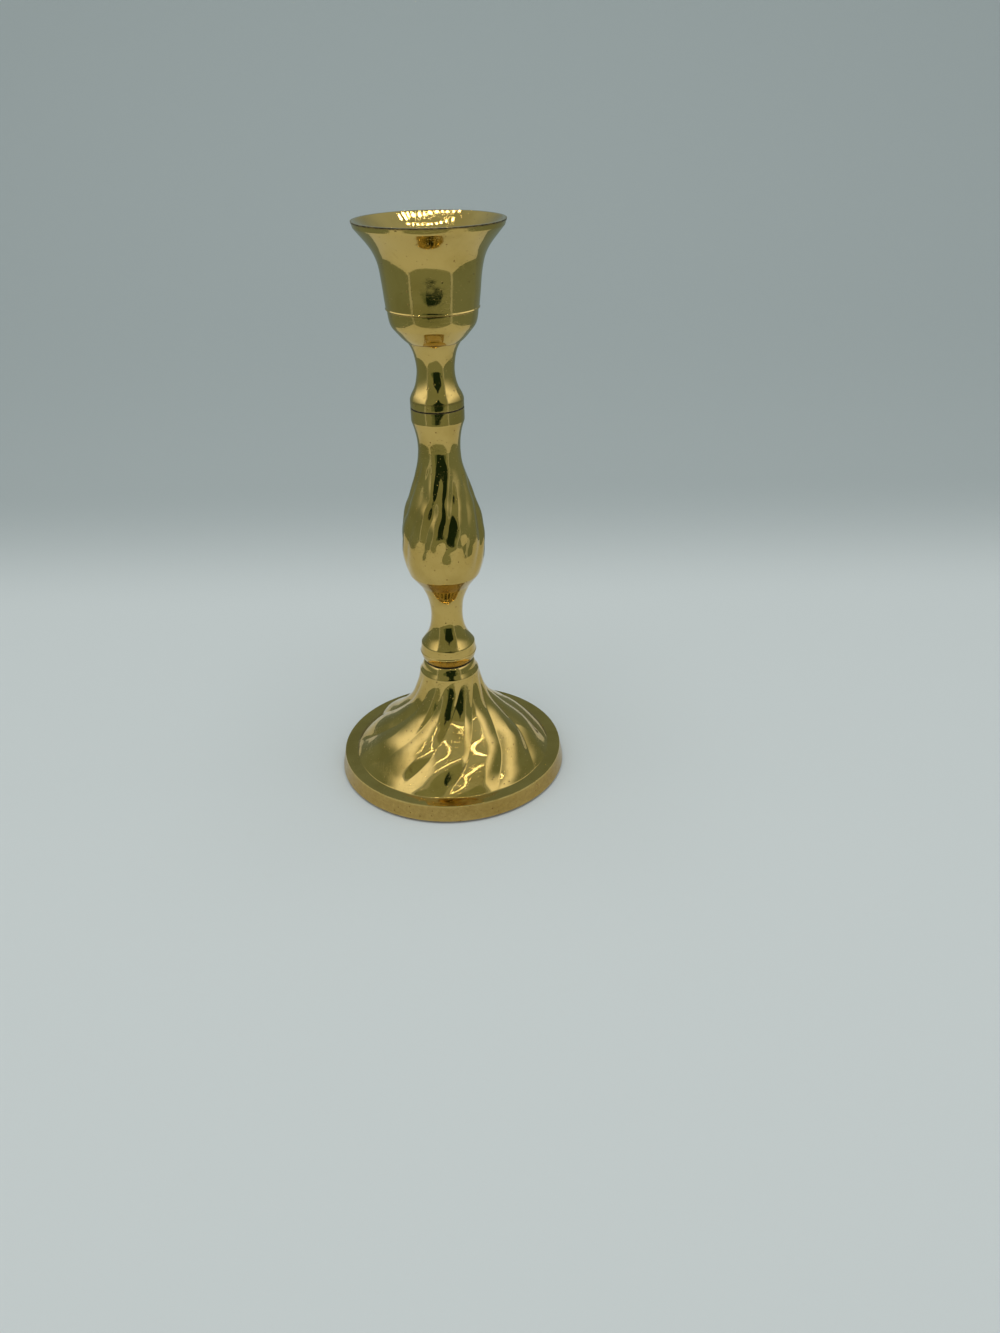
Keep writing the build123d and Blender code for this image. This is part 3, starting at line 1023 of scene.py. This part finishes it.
def felt_material(look):
    """Dark wool felt: matted fibres, flattened places, lint, white specks and curled loose threads."""
    material, tree, shader = new_material("maroon_felt")
    place = in_millimetres(tree)
    fibres = noise(tree, place, 3.2, 5.0, 0.75, 1.4)
    matted = noise(tree, place, 0.55, 5.0, 0.7, 0.8)
    worn = between(tree, noise(tree, place, 0.08, 4.0, 0.6), 0.45, 0.70)
    lint = maths(tree, "MAXIMUM", spots(tree, place, 0.9, 0.14, 0.16), spots(tree, place, 0.30, 0.07, 0.25))
    bends = add(tree, "TexNoise", {"Vector": place, "Scale": 0.35, "Detail": 3.0}).outputs["Color"]
    thread_place = in_millimetres(tree, (0.16, 0.16, 0.16))
    bent_place = add(tree, "VectorMath", {0: thread_place, 1: bends}, operation="ADD").outputs[0]
    curled = fine_lines(tree, bent_place, 0.016)
    curled = times(tree, curled, between(tree, noise(tree, place, 0.22, 2.0), 0.55, 0.62))
    scratch = fine_lines(tree, in_millimetres(tree, (0.05, 0.5, 0.5), (0.0, 0.0, 0.9)), 0.014)
    scratch = times(tree, scratch, between(tree, noise(tree, place, 0.10, 2.0), 0.54, 0.60))
    loose = maths(tree, "MAXIMUM", maths(tree, "MAXIMUM", lint, curled), scratch)
    colour = mixed(tree, worn, look.pile, look.worn)
    colour = mixed(tree, between(tree, fibres, 0.35, 0.70, 0.0, 0.55), colour, dimmed(look.pile, 0.35))
    colour = mixed(tree, between(tree, matted, 0.60, 0.75, 0.0, 0.35), colour, look.worn)
    colour = mixed(tree, times(tree, loose, 0.55), colour, look.lint)
    normal = raised(tree, (matted, 0.00012), (fibres, 0.00006), (loose, 0.00005))
    finish(
        tree,
        shader,
        Base_Color=colour,
        Roughness=0.95,
        Specular_IOR_Level=0.15,
        Sheen_Weight=0.35,
        Sheen_Roughness=0.5,
        Sheen_Tint=(*look.worn, 1.0),
        Normal=normal,
    )
    return material


def steel_material(look):
    """Zinc plated steel with a dull spangle, turning marks and a little rust."""
    material, tree, shader = new_material("plated_steel")
    place = in_millimetres(tree)
    spangle = noise(tree, place, 0.8, 4.0, 0.6)
    rusty = between(tree, noise(tree, place, 0.35, 5.0, 0.7), 0.60, 0.72)
    marks = noise(tree, in_millimetres(tree, (0.2, 0.2, 9.0)), 1.0, 3.0, 0.6)
    colour = mixed(tree, spangle, look.plating, dimmed(look.plating, 0.72))
    colour = mixed(tree, times(tree, rusty, 0.6), colour, look.rust)
    rough = maths(tree, "MULTIPLY_ADD", marks, 0.12, 0.28)
    rough = maths(tree, "MULTIPLY_ADD", rusty, 0.4, rough)
    metal = between(tree, rusty, 0, 1, 1.0, 0.25)
    normal = raised(tree, (marks, 0.000006), (spangle, 0.00002))
    finish(tree, shader, Base_Color=colour, Roughness=rough, Metallic=metal, Normal=normal)
    return material


def card_material(look):
    """Grey board with matted fibres and darker flecks."""
    material, tree, shader = new_material("grey_board")
    place = in_millimetres(tree)
    pulp = noise(tree, place, 1.3, 5.0, 0.75, 0.9)
    flecks = spots(tree, place, 0.8, 0.22, 0.30)
    cloudy = between(tree, noise(tree, place, 0.06, 3.0), 0.4, 0.7, 0.0, 0.3)
    colour = mixed(tree, pulp, look.card, dimmed(look.card, 0.62))
    colour = mixed(tree, times(tree, flecks, 0.5), colour, dimmed(look.card, 0.30))
    colour = mixed(tree, cloudy, colour, dimmed(look.card, 0.8))
    rough = between(tree, pulp, 0.3, 0.7, 0.85, 0.97)
    normal = raised(tree, (pulp, 0.00008))
    finish(tree, shader, Base_Color=colour, Roughness=rough, Specular_IOR_Level=0.2, Normal=normal)
    return material


def shared_brass(context):
    """The one brass that all three castings share."""
    return bpy.data.materials.get("polished_brass") or brass_material(context.scene.candlestick_brass)


# Pieces


class CANDLESTICK_OT_base(bpy.types.Operator):
    """Makes the base casting with its foot band, twisted lobes and collar"""

    bl_idname = "candlestick.base"
    bl_label = "Make base"

    def execute(self, context):
        sizes = context.scene.candlestick_sizes
        # The band mark darkens and dulls the middle of the foot band.
        ledge = base_bottom + band_height
        band_inside = sizes.foot_diameter / MM / 2 - band_mark_inset
        band_mark = (ledge - band_height / 2, band_mark_share * band_height, band_inside, band_mark_strength)
        mesh = lathe_mesh(
            "base_casting",
            polished_outline(base_outline(sizes), sizes.edge_softness / MM, ring=True),
            ring=True,
            unevenness=sizes.unevenness / MM,
            seed=3,
            lobe_count=sizes.lobe_count,
            per_lobe=base_lobe_columns,
            roundness=sizes.valley_roundness,
            turned=twist(sizes.swirl_turn, ledge, swirl_height),
            start=sizes.swirl_start,
            seams=(base_top,),
            marks=(band_mark,),
        )
        placed(context, mesh, shared_brass(context), "brass", "base")
        return {"FINISHED"}


class CANDLESTICK_OT_stem(bpy.types.Operator):
    """Makes the stem casting with its bead, necks and twisted bulb"""

    bl_idname = "candlestick.stem"
    bl_label = "Make stem"

    def execute(self, context):
        sizes = context.scene.candlestick_sizes
        bulb_bottom = base_top + bead_roll_height + bead_band_height + lower_neck_height + bevel_height
        bulb_height = bulb_lower_height + bulb_upper_height
        half_bevel = bevel_height / 2
        bevel_mark = (bulb_bottom - half_bevel, half_bevel, bevel_mark_radius, bevel_mark_strength)
        mesh = lathe_mesh(
            "stem_casting",
            polished_outline(stem_outline(sizes), sizes.edge_softness / MM, ring=True),
            ring=True,
            unevenness=sizes.unevenness / MM,
            seed=7,
            lobe_count=sizes.lobe_count,
            per_lobe=bulb_lobe_columns,
            roundness=bulb_valley_roundness,
            turned=twist(sizes.bulb_turn, bulb_bottom, bulb_height),
            start=sizes.bulb_start,
            wavy_levels=(bulb_bottom, bulb_bottom + bulb_height),
            seams=(base_top, stem_top),
            marks=(bevel_mark,),
        )
        placed(context, mesh, shared_brass(context), "brass", "stem")
        return {"FINISHED"}


class CANDLESTICK_OT_cup(bpy.types.Operator):
    """Makes the candle cup with its neck, bowl, flared bell and socket"""

    bl_idname = "candlestick.cup"
    bl_label = "Make candle cup"

    def execute(self, context):
        sizes = context.scene.candlestick_sizes
        mesh = lathe_mesh(
            "candle_cup_casting",
            polished_outline(cup_outline(sizes), sizes.edge_softness / MM, ring=False),
            ring=False,
            unevenness=sizes.unevenness / MM,
            seed=11,
            lobe_count=cup_columns,
            seams=(stem_top,),
            marks=self.edge_marks(sizes),
        )
        placed(context, mesh, shared_brass(context), "brass", "candle_cup")
        return {"FINISHED"}

    def edge_marks(self, sizes):
        """Dark lines along the lip's edge, above and under the bowl and on the bead of the neck."""
        bowl_bottom = stem_top + neck_bead_height + cup_neck_height
        return (
            mark_by(rim_top, sizes.rim_diameter / MM / 2, *lip_mark),
            mark_by(bowl_bottom + bowl_height, bowl_radius, *groove_mark),
            mark_by(bowl_bottom, bowl_start_radius, *bowl_mark),
            mark_by(stem_top + neck_bead_height, stem_collar_radius, *neck_bead_mark),
        )


class CANDLESTICK_OT_felt(bpy.types.Operator):
    """Makes the felt disc under the foot"""

    bl_idname = "candlestick.felt"
    bl_label = "Make felt"

    def execute(self, context):
        look = context.scene.candlestick_felt
        radius = felt_size.x / 2
        mesh = bpy.data.meshes.new("felt_disc")
        mesh.from_pydata(self.felt_points(look, radius), [], self.felt_faces())
        mesh.shade_smooth()
        mesh.update()
        felt = placed(context, mesh, felt_material(look), "felt", "felt_pad")
        return {"FINISHED"}

    def felt_points(self, look, radius):
        """Points of the top from the middle out, then of the wavy underside back to the middle."""
        bottom = felt_bottom * MM
        top = bottom + felt_size.z
        random = np.random.default_rng(felt_seed)
        angle = np.arange(felt_columns) * FULL_TURN / felt_columns
        frayed = np.zeros(felt_columns)
        for count in fray_counts:
            frayed += np.sin(count * angle + random.uniform(0, FULL_TURN)) * random.uniform(0.5, 1.0)
        cut = radius - felt_margin - fray_depth * frayed
        shares = np.linspace(0, 1, felt_rings + 1)[1:]
        reach = shares[:, None] * cut[None, :]
        x, y = reach * np.cos(angle), reach * np.sin(angle)
        waves = np.zeros_like(x)
        for _ in range(felt_wave_count):
            direction = random.uniform(0, FULL_TURN)
            wave_length = random.uniform(*felt_wave_lengths)
            across = (x * math.cos(direction) + y * math.sin(direction)) / wave_length
            waves += np.sin(FULL_TURN * across + random.uniform(0, FULL_TURN)) / felt_wave_count**0.5
        rim = np.clip((1 - shares[:, None]) * radius / felt_rim_width, 0, 1)
        roll = felt_rim_roll * (1 - np.sqrt(1 - (1 - rim) ** 2))
        low = bottom + felt_lift + look.undulation * (1 + np.clip(waves, -1, 1)) / 2 + roll
        high = np.full_like(x, top) - roll * 0.5
        points = [(0.0, 0.0, top)]
        points += np.stack([x, y, high], -1).reshape(-1, 3).tolist()
        points += np.stack([x, y, low], -1)[::-1].reshape(-1, 3).tolist()
        points.append((0.0, 0.0, bottom + felt_middle_lift))
        return points

    def felt_faces(self):
        """Faces between the rings of the top and underside, with a fan at the middle of each."""
        ring_starts = [1 + k * felt_columns for k in range(2 * felt_rings)]
        last_ring = ring_starts[-1]
        faces = []
        for k in range(felt_columns):
            after = (k + 1) % felt_columns
            faces.append((0, 1 + k, 1 + after))
            faces.append((last_ring + felt_columns, last_ring + after, last_ring + k))
            for here, there in zip(ring_starts, ring_starts[1:]):
                faces.append((here + k, there + k, there + after, here + after))
        return faces


class CANDLESTICK_OT_inside(bpy.types.Operator):
    """Finishes the rod, washers, nut and card that the frame holds inside the foot"""

    bl_idname = "candlestick.inside"
    bl_label = "Finish inside parts"

    def execute(self, context):
        look = context.scene.candlestick_hidden
        steel = steel_material(look)
        finishes = {node: steel for node in ("tie_rod", "washer", "spring_washer", "hex_nut")}
        finishes["backing_card"] = card_material(look)
        for node, material in finishes.items():
            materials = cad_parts[node].data.materials
            materials.clear()
            materials.append(material)
        return {"FINISHED"}


# Stage


def glow_material(name, colour, strength=1.0):
    """A plain even glow."""
    material = bpy.data.materials.new(name)
    material.use_nodes = True
    tree = material.node_tree
    tree.nodes.clear()
    glow = add(tree, "Emission", {"Color": (*colour, 1.0), "Strength": strength})
    tree.links.new(glow.outputs[0], tree.nodes.new("ShaderNodeOutputMaterial").inputs[0])
    material.cycles.emission_sampling = "NONE"
    return material


def wall_glow(name, low, high, start, end, fade=False):
    """A glow that goes from the low to the high colour between two levels, and may go part of the way back
    above them."""
    material = glow_material(name, low)
    tree = material.node_tree
    level = add(tree, "SeparateXYZ", {0: add(tree, "TexCoord").outputs["Object"]}).outputs["Z"]
    rise = between(tree, level, start, end)
    if fade:
        rise = times(tree, rise, between(tree, level, end + fade_start, end + fade_end, 1.0, fade_share))
    glow = next(node for node in tree.nodes if node.type == "EMISSION")
    tree.links.new(mixed(tree, rise, low, high), glow.inputs["Color"])
    return material


def stage_piece(context, name, points, faces, material):
    """A mesh that belongs to the stage."""
    mesh = bpy.data.meshes.new(name)
    mesh.from_pydata([tuple(p) for p in points], [], faces)
    mesh.materials.append(material)
    thing = bpy.data.objects.new(name, mesh)
    context.scene.collection.objects.link(thing)
    return thing


def only_in_brass(context, name, points, faces, material):
    """A piece of the stage that shows in reflections and nowhere else."""
    thing = stage_piece(context, name, points, faces, material)
    thing.visible_camera = False
    thing.visible_diffuse = False
    thing.visible_shadow = False
    thing.visible_transmission = False
    thing.visible_volume_scatter = False


def upright_panel(context, name, start, end, material, low=0.0, high=tent_height):
    """An upright reflected panel between two points of the floor plan."""
    points = [(*start, low), (*end, low), (*end, high), (*start, high)]
    only_in_brass(context, name, points, [(0, 1, 2, 3)], material)


def level_panel(context, name, near, far, level, material):
    """A level reflected panel between two opposite corners of the floor plan."""
    points = [(*near, level), (far[0], near[1], level), (*far, level), (near[0], far[1], level)]
    only_in_brass(context, name, points, [(0, 1, 2, 3)], material)


def front_card(context, name, outline, front, material):
    """An upright reflected card of any outline that stands in front."""
    points = [(x, front, z) for x, z in outline]
    only_in_brass(context, name, points, [tuple(range(len(points)))], material)


def bead_places():
    """Places of the small lamps and half their lengths: a wide frame of them, and two curved rows."""
    places = [(x, y, frame_bead) for x in np.arange(*long_side) for y in long_side_places]
    places += [(x, y, frame_bead) for y in np.arange(*short_side) for x in short_side_places]
    places += [(x, far_middle + far_bend * x * x, far_bead) for x in np.arange(*far_row)]
    places += [(x, near_middle + near_bend * x * x, near_bead) for x in np.arange(*near_row)]
    return places


class CANDLESTICK_OT_stage(bpy.types.Operator):
    """Makes the floor, the backdrop, the lamps, the reflected tent and the camera"""

    bl_idname = "candlestick.stage"
    bl_label = "Make stage"

    def execute(self, context):
        look = context.scene.candlestick_studio
        self.floor_and_backdrop(context, look)
        self.reflected_tent(context, look)
        self.reflected_lamps(context, look)
        self.lamps(context, look)
        self.camera(context)
        context.scene.view_settings.view_transform = "Standard"
        return {"FINISHED"}

    def floor_and_backdrop(self, context, look):
        """One sheet that lies flat, bends up behind the object and then stands."""
        plan = [(-sheet_half_width, 0.0), (bend_start, 0.0)]
        for k in range(1, bend_steps + 1):
            turn = math.pi / 2 * k / bend_steps
            plan.append((bend_start + bend_radius * math.sin(turn), bend_radius * (1 - math.cos(turn))))
        plan.append((bend_start + bend_radius, sheet_top))
        points = [(x, y, z) for y, z in plan for x in (-sheet_half_width, sheet_half_width)]
        faces = [(2 * k, 2 * k + 1, 2 * k + 3, 2 * k + 2) for k in range(len(plan) - 1)]
        material, tree, shader = new_material("pale_sheet")
        back = add(tree, "SeparateXYZ", {0: add(tree, "TexCoord").outputs["Object"]}).outputs["Y"]
        steps = [between(tree, back, near, far, 0.0, share) for near, far, share in colour_blends]
        colour = mixed(tree, maths(tree, "ADD", *steps), look.floor, look.backdrop)
        finish(tree, shader, Base_Color=colour, Roughness=1.0, Specular_IOR_Level=0.0)
        sheet = stage_piece(context, "floor_sheet", points, faces, material)
        sheet.data.shade_smooth()

    def reflected_tent(self, context, look):
        """Walls, ceiling, front opening and cards that show only in the brass."""
        left, right = -tent_side, tent_side
        wall = wall_glow(
            "tent_wall", look.side_wall, look.wall_top, wall_low_level, wall_high_level, fade=True
        )
        back = wall_glow("tent_back", look.back_wall, look.ceiling, back_low_level, tent_height)
        ceiling = glow_material("tent_ceiling", look.ceiling)
        room = glow_material("dim_room", look.room)
        dark = glow_material("dark_post", look.dark_card)
        dim = glow_material("dim_card", look.dim_card)
        upright_panel(context, "wall_left", (left, tent_front), (left, tent_back), wall)
        upright_panel(context, "wall_right", (right, tent_front), (right, tent_back), wall)
        upright_panel(context, "wall_back", (left, tent_back), (right, tent_back), back)
        for x in (-post_place, post_place):
            start, end = (x - post_half_width, tent_front), (x + post_half_width, tent_front)
            upright_panel(context, "post", start, end, dark)
        start, end = (-room_side, room_front), (room_side, room_front)
        upright_panel(context, "room_front", start, end, room, room_low, room_high)
        level_panel(context, "dim_table", start, (room_side, tent_front), table_level, room)
        front_card(context, "dark_card", dark_card_outline, dark_card_front, dark)
        front_card(context, "shade_card", shade_card_outline, shade_card_front, dim)
        for x in (left, right - strip_width):
            upright_panel(context, "front_strip", (x, tent_front), (x + strip_width, tent_front), ceiling)
        level_panel(context, "ceiling", (left, tent_front), (right, tent_back), tent_height, ceiling)
        near, far = (-shield_side, shield_front), (shield_side, shield_back)
        level_panel(context, "lamp_shield", near, far, shield_level, ceiling)

    def reflected_lamps(self, context, look):
        """The small lamps under the tent's ceiling, which show only in the brass."""
        points, faces = [], []
        for x, y, half_length in bead_places():
            first = len(points)
            for dx, dy in ((-1, -1), (1, -1), (1, 1), (-1, 1)):
                points.append((x + dx * bead_half_width, y + dy * half_length, tent_height - bead_drop))
            faces.append((first, first + 1, first + 2, first + 3))
        bead = glow_material("lamp_bead", look.bead, look.bead_glow)
        only_in_brass(context, "lamp_beads", points, faces, bead)

    def lamps(self, context, look):
        """A wide soft lamp above, and even light from all round."""
        data = bpy.data.lights.new("soft_lamp", "AREA")
        data.shape = "SQUARE"
        data.size = lamp_width
        data.energy = look.lamp_power
        lamp = bpy.data.objects.new("soft_lamp", data)
        lamp.location = lamp_place
        lamp.visible_glossy = False
        context.scene.collection.objects.link(lamp)
        world = bpy.data.worlds.new("soft_light")
        context.scene.world = world
        world.use_nodes = True
        tree = world.node_tree
        tree.nodes.clear()
        path = add(tree, "LightPath")
        even = add(tree, "Background", {"Color": (1.0, 1.0, 1.0, 1.0), "Strength": look.sky})
        seen = add(tree, "Background", {"Color": (*look.backdrop, 1.0), "Strength": 1.0})
        shown = maths(tree, "MAXIMUM", path.outputs["Is Camera Ray"], path.outputs["Is Glossy Ray"])
        both = add(tree, "MixShader", {0: shown, 1: even.outputs[0], 2: seen.outputs[0]})
        tree.links.new(both.outputs[0], tree.nodes.new("ShaderNodeOutputWorld").inputs[0])

    def camera(self, context):
        """The camera at the photograph's place, 31 cm in front and looking down 30 degrees."""
        data = bpy.data.cameras.new("camera")
        data.sensor_width = camera_sensor
        data.lens = camera_lens
        data.clip_start = camera_nearest * MM
        camera = bpy.data.objects.new("camera", data)
        context.scene.collection.objects.link(camera)
        context.scene.camera = camera
        down, roll = math.radians(camera_down), math.radians(camera_roll)
        turn = Euler((math.pi / 2 - down, 0, 0)).to_matrix() @ Euler((0, 0, roll)).to_matrix()
        camera.matrix_world = Matrix.Translation(Vector(camera_place) * MM) @ turn.to_4x4()


class CANDLESTICK_PT_panel(bpy.types.Panel):
    """Lists the steps that make the candlestick, with their sizes and finishes"""

    bl_idname = "CANDLESTICK_PT_panel"
    bl_label = "Candlestick"
    bl_space_type = "VIEW_3D"
    bl_region_type = "UI"
    bl_category = "Candlestick"

    def draw(self, context):
        layout = self.layout
        for step in STEPS:
            layout.operator(step.bl_idname)
        for name, group in SETTINGS.items():
            box = layout.box()
            box.label(text=group.__doc__.rstrip("."))
            for setting in group.__annotations__:
                box.prop(getattr(context.scene, name), setting)


STEPS = (
    CANDLESTICK_OT_base,
    CANDLESTICK_OT_stem,
    CANDLESTICK_OT_cup,
    CANDLESTICK_OT_felt,
    CANDLESTICK_OT_inside,
    CANDLESTICK_OT_stage,
)


def register():
    for group in (*SETTINGS.values(), *STEPS, CANDLESTICK_PT_panel):
        bpy.utils.register_class(group)
    for name, group in SETTINGS.items():
        setattr(bpy.types.Scene, name, bpy.props.PointerProperty(type=group))


def unregister():
    for name in SETTINGS:
        delattr(bpy.types.Scene, name)
    for group in reversed((*SETTINGS.values(), *STEPS, CANDLESTICK_PT_panel)):
        bpy.utils.unregister_class(group)


def main():
    register()
    bpy.ops.candlestick.base()
    bpy.ops.candlestick.stem()
    bpy.ops.candlestick.cup()
    bpy.ops.candlestick.felt()
    bpy.ops.candlestick.inside()
    bpy.ops.candlestick.stage()


if __name__ == "__main__":
    main()
